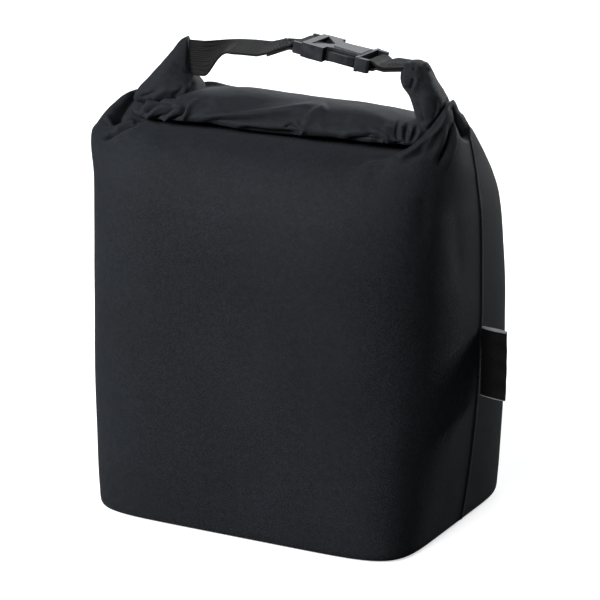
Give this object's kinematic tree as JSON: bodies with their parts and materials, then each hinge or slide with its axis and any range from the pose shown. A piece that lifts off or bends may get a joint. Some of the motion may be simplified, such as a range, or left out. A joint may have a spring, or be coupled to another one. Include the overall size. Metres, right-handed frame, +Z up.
{
  "type": "insulated cooler bag",
  "caption": "Soft roll-top insulated lunch cooler whose rolled mouth folds up at both ends into a webbing handle closed by a side-release buckle.",
  "frame": {"origin": "centre of the base, on the surface the bag stands on", "axes": "+Z up, -Y towards the front face that the mouth is rolled over, +X to the right seen from the front"},
  "size_m": [0.24, 0.16, 0.2736],
  "materials": {
    "shell_fabric": "fine plain-weave polyester, matt with a slight sheen",
    "base_fabric": "fine plain-weave polyester, matt",
    "seam_fabric": "folded and topstitched polyester",
    "foam": "white closed-cell polyethylene foam",
    "stiffener": "matt sheet plastic",
    "liner_film": "light grey wipe-clean film with a soft shine",
    "webbing": "ribbed woven webbing",
    "thread": "twisted polyester thread",
    "buckle_plastic": "moulded acetal with a satin surface",
    "label_weave": "fine woven satin tape, blank"
  },
  "bodies": {
    "bag": {"outer_front_panel": "shell_fabric", "outer_back_panel": "shell_fabric", "outer_base_panel": "base_fabric", "foam_front": "foam", "foam_back": "foam", "foam_base": "foam", "base_stiffener": "stiffener", "liner_walls": "liner_film", "liner_base": "liner_film", "side_seam_left": "seam_fabric", "side_seam_right": "seam_fabric"},
    "roll": {"rolled_collar": "shell_fabric", "mouth_stiffener_front": "stiffener", "mouth_stiffener_back": "stiffener"},
    "ear_left": {"left_ear": "shell_fabric"},
    "ear_right": {"right_ear": "shell_fabric"},
    "strap_left": {"left_webbing": "webbing", "left_webbing_stitches": "thread", "buckle_male_frame": "buckle_plastic"},
    "strap_right": {"right_webbing": "webbing", "right_webbing_stitches": "thread", "buckle_female": "buckle_plastic"},
    "squeeze_front": {"prong_front": "buckle_plastic"},
    "squeeze_back": {"prong_back": "buckle_plastic"},
    "label": {"label_tab": "label_weave"}
  },
  "joints": [
    {"name": "roll_flip", "type": "hinge", "parent": "bag", "child": "roll", "pos_m": [0, 0.003, 0.234], "axis": [-1, 0, 0], "range_deg": [0, 90]},
    {"name": "left_ear_fold", "type": "hinge", "parent": "roll", "child": "ear_left", "pos_m": [-0.085, -0.015, 0.231], "axis": [0, -1, 0], "range_deg": [0, 75], "deforming": ["prong_front", "prong_back"]},
    {"name": "left_strap_turn", "type": "hinge", "parent": "ear_left", "child": "strap_left", "pos_m": [-0.0605, -0.015, 0.2555], "axis": [0, 1, 0], "range_deg": [0, 75]},
    {"name": "right_ear_fold", "type": "hinge", "parent": "roll", "child": "ear_right", "pos_m": [0.08775, -0.015, 0.23308], "axis": [0, 1, 0], "range_deg": [0, 75]},
    {"name": "right_strap_turn", "type": "hinge", "parent": "ear_right", "child": "strap_right", "pos_m": [0.07148, -0.015, 0.26368], "axis": [0, -1, 0], "range_deg": [0, 75]},
    {"name": "front_prong_squeeze", "type": "hinge", "parent": "strap_left", "child": "squeeze_front", "pos_m": [0.01851, -0.023, 0.26916], "axis": [0.1478, 0, 0.989], "range_deg": [0, 10], "stiffness_Nm_per_rad": 0.02},
    {"name": "back_prong_squeeze", "type": "hinge", "parent": "strap_left", "child": "squeeze_back", "pos_m": [0.01851, -0.007, 0.26916], "axis": [-0.1478, 0, -0.989], "range_deg": [0, 10], "stiffness_Nm_per_rad": 0.02},
    {"name": "label_flick", "type": "hinge", "parent": "bag", "child": "label", "pos_m": [0.112, 0.0064, 0.097], "axis": [0, 0, 1], "range_deg": [-65, 85]}
  ],
  "couplings": [
    {"joint": "left_strap_turn", "follows": "left_ear_fold", "ratio": 1},
    {"joint": "right_ear_fold", "follows": "left_ear_fold", "ratio": 1},
    {"joint": "right_strap_turn", "follows": "left_ear_fold", "ratio": 1},
    {"joint": "back_prong_squeeze", "follows": "front_prong_squeeze", "ratio": 1}
  ]
}
